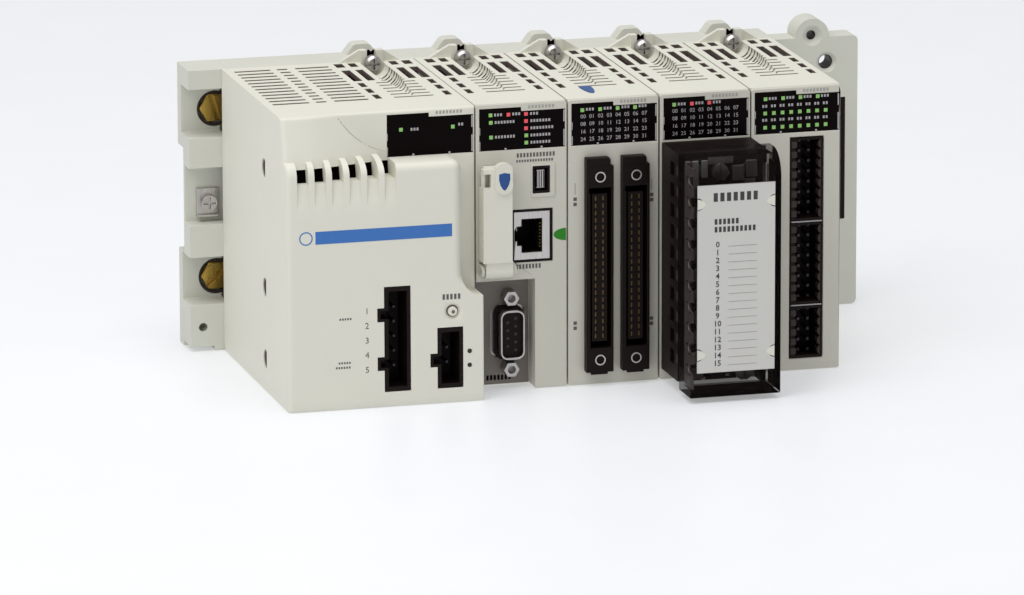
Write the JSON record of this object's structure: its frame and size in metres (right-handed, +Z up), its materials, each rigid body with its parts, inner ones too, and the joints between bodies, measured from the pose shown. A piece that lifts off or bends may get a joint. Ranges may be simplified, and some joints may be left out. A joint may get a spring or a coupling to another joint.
{
  "type": "modular programmable logic controller rack",
  "caption": "Rack of a modular controller: power supply, processor and input/output modules side by side on a rail-mounted backplane, with sockets, indicator windows and a terminal block.",
  "frame": {"origin": "bottom centre of the overall box, on the surface that the modules stand on", "axes": "+X along the rack from the power supply to the last module, -Y is the side of the fronts, +Z up"},
  "size_m": [0.245, 0.1352, 0.1044],
  "materials": {
    "ivory_plastic": "fine moulded texture",
    "black_plastic": "moulded, slightly satin",
    "window_black": "glossy",
    "zinc_plated_steel": "zinc plated",
    "brass": "machined",
    "circuit_board": "solder mask",
    "green_light": "lit indicator",
    "red_light": "lit indicator",
    "tinned_contact": "tinned",
    "gold_contact": "gold plated",
    "transformer_core": "varnished laminations",
    "capacitor_sleeve": "shrink sleeve",
    "aluminium": "extruded",
    "card_blue": "moulded",
    "smoked_clear": "clear moulded plastic, smoked",
    "label_card": "printed card"
  },
  "bodies": {
    "rack": {"rack_profile": "ivory_plastic", "rack_left_end": "ivory_plastic", "rack_right_end": "ivory_plastic", "rack_rear_plate": "zinc_plated_steel", "bus_board": "circuit_board", "bus_sockets": "black_plastic", "bus_plugs": "black_plastic", "extension_connector": "black_plastic", "rack_clamp_screws": "brass", "ground_clamp": "zinc_plated_steel", "ground_screw": "zinc_plated_steel", "module_screws": "zinc_plated_steel", "supply_housing": "ivory_plastic", "processor_housing": "ivory_plastic", "digital_housing": "ivory_plastic", "input_housing": "ivory_plastic", "counter_housing": "ivory_plastic", "supply_window": "window_black", "processor_window": "window_black", "digital_window": "window_black", "input_window": "window_black", "counter_window": "window_black", "green_lights": "green_light", "red_lights": "red_light", "supply_front_cover": "ivory_plastic", "supply_power_socket": "black_plastic", "supply_relay_socket": "black_plastic", "supply_pins": "tinned_contact", "reset_switch": "black_plastic", "supply_board": "circuit_board", "transformer": "transformer_core", "capacitors": "capacitor_sleeve", "heat_sink": "aluminium", "processor_front": "ivory_plastic", "card_door_pin": "zinc_plated_steel", "card_holder": "black_plastic", "memory_card": "card_blue", "usb_port": "tinned_contact", "network_socket": "tinned_contact", "fieldbus_plug": "tinned_contact", "fieldbus_pins": "tinned_contact", "jack_screws": "zinc_plated_steel", "module_boards": "circuit_board", "digital_front": "ivory_plastic", "digital_connectors": "black_plastic", "digital_tongues": "black_plastic", "digital_contacts": "gold_contact", "threaded_inserts": "zinc_plated_steel", "input_front": "ivory_plastic", "terminal_header": "black_plastic", "counter_front": "ivory_plastic", "counter_sockets": "black_plastic", "counter_contacts": "tinned_contact"},
    "reset_button": {"reset_button": "ivory_plastic"},
    "card_door": {"card_door": "ivory_plastic"},
    "terminal_block": {"terminal_block": "black_plastic", "terminal_clamp_screws": "zinc_plated_steel", "terminal_jack_screws": "zinc_plated_steel"},
    "terminal_cover": {"terminal_cover": "smoked_clear", "terminal_label": "label_card"}
  },
  "joints": [
    {"name": "reset_button", "type": "slide", "parent": "rack", "child": "reset_button", "axis": [0, 1, 0], "range_m": [0, 0.001], "stiffness_N_per_m": 300, "springref_m": -0.002},
    {"name": "card_door", "type": "hinge", "parent": "rack", "child": "card_door", "pos_m": [-0.03496, -0.03525, 0.0431], "axis": [1, 0, 0], "range_deg": [0, 110]},
    {"name": "terminal_block", "type": "slide", "parent": "rack", "child": "terminal_block", "axis": [0, -1, 0], "range_m": [0, 0.02]},
    {"name": "terminal_cover", "type": "hinge", "parent": "terminal_block", "child": "terminal_cover", "pos_m": [0.05294, -0.05595, 0], "axis": [0, 0, 1], "range_deg": [0, 100]}
  ]
}
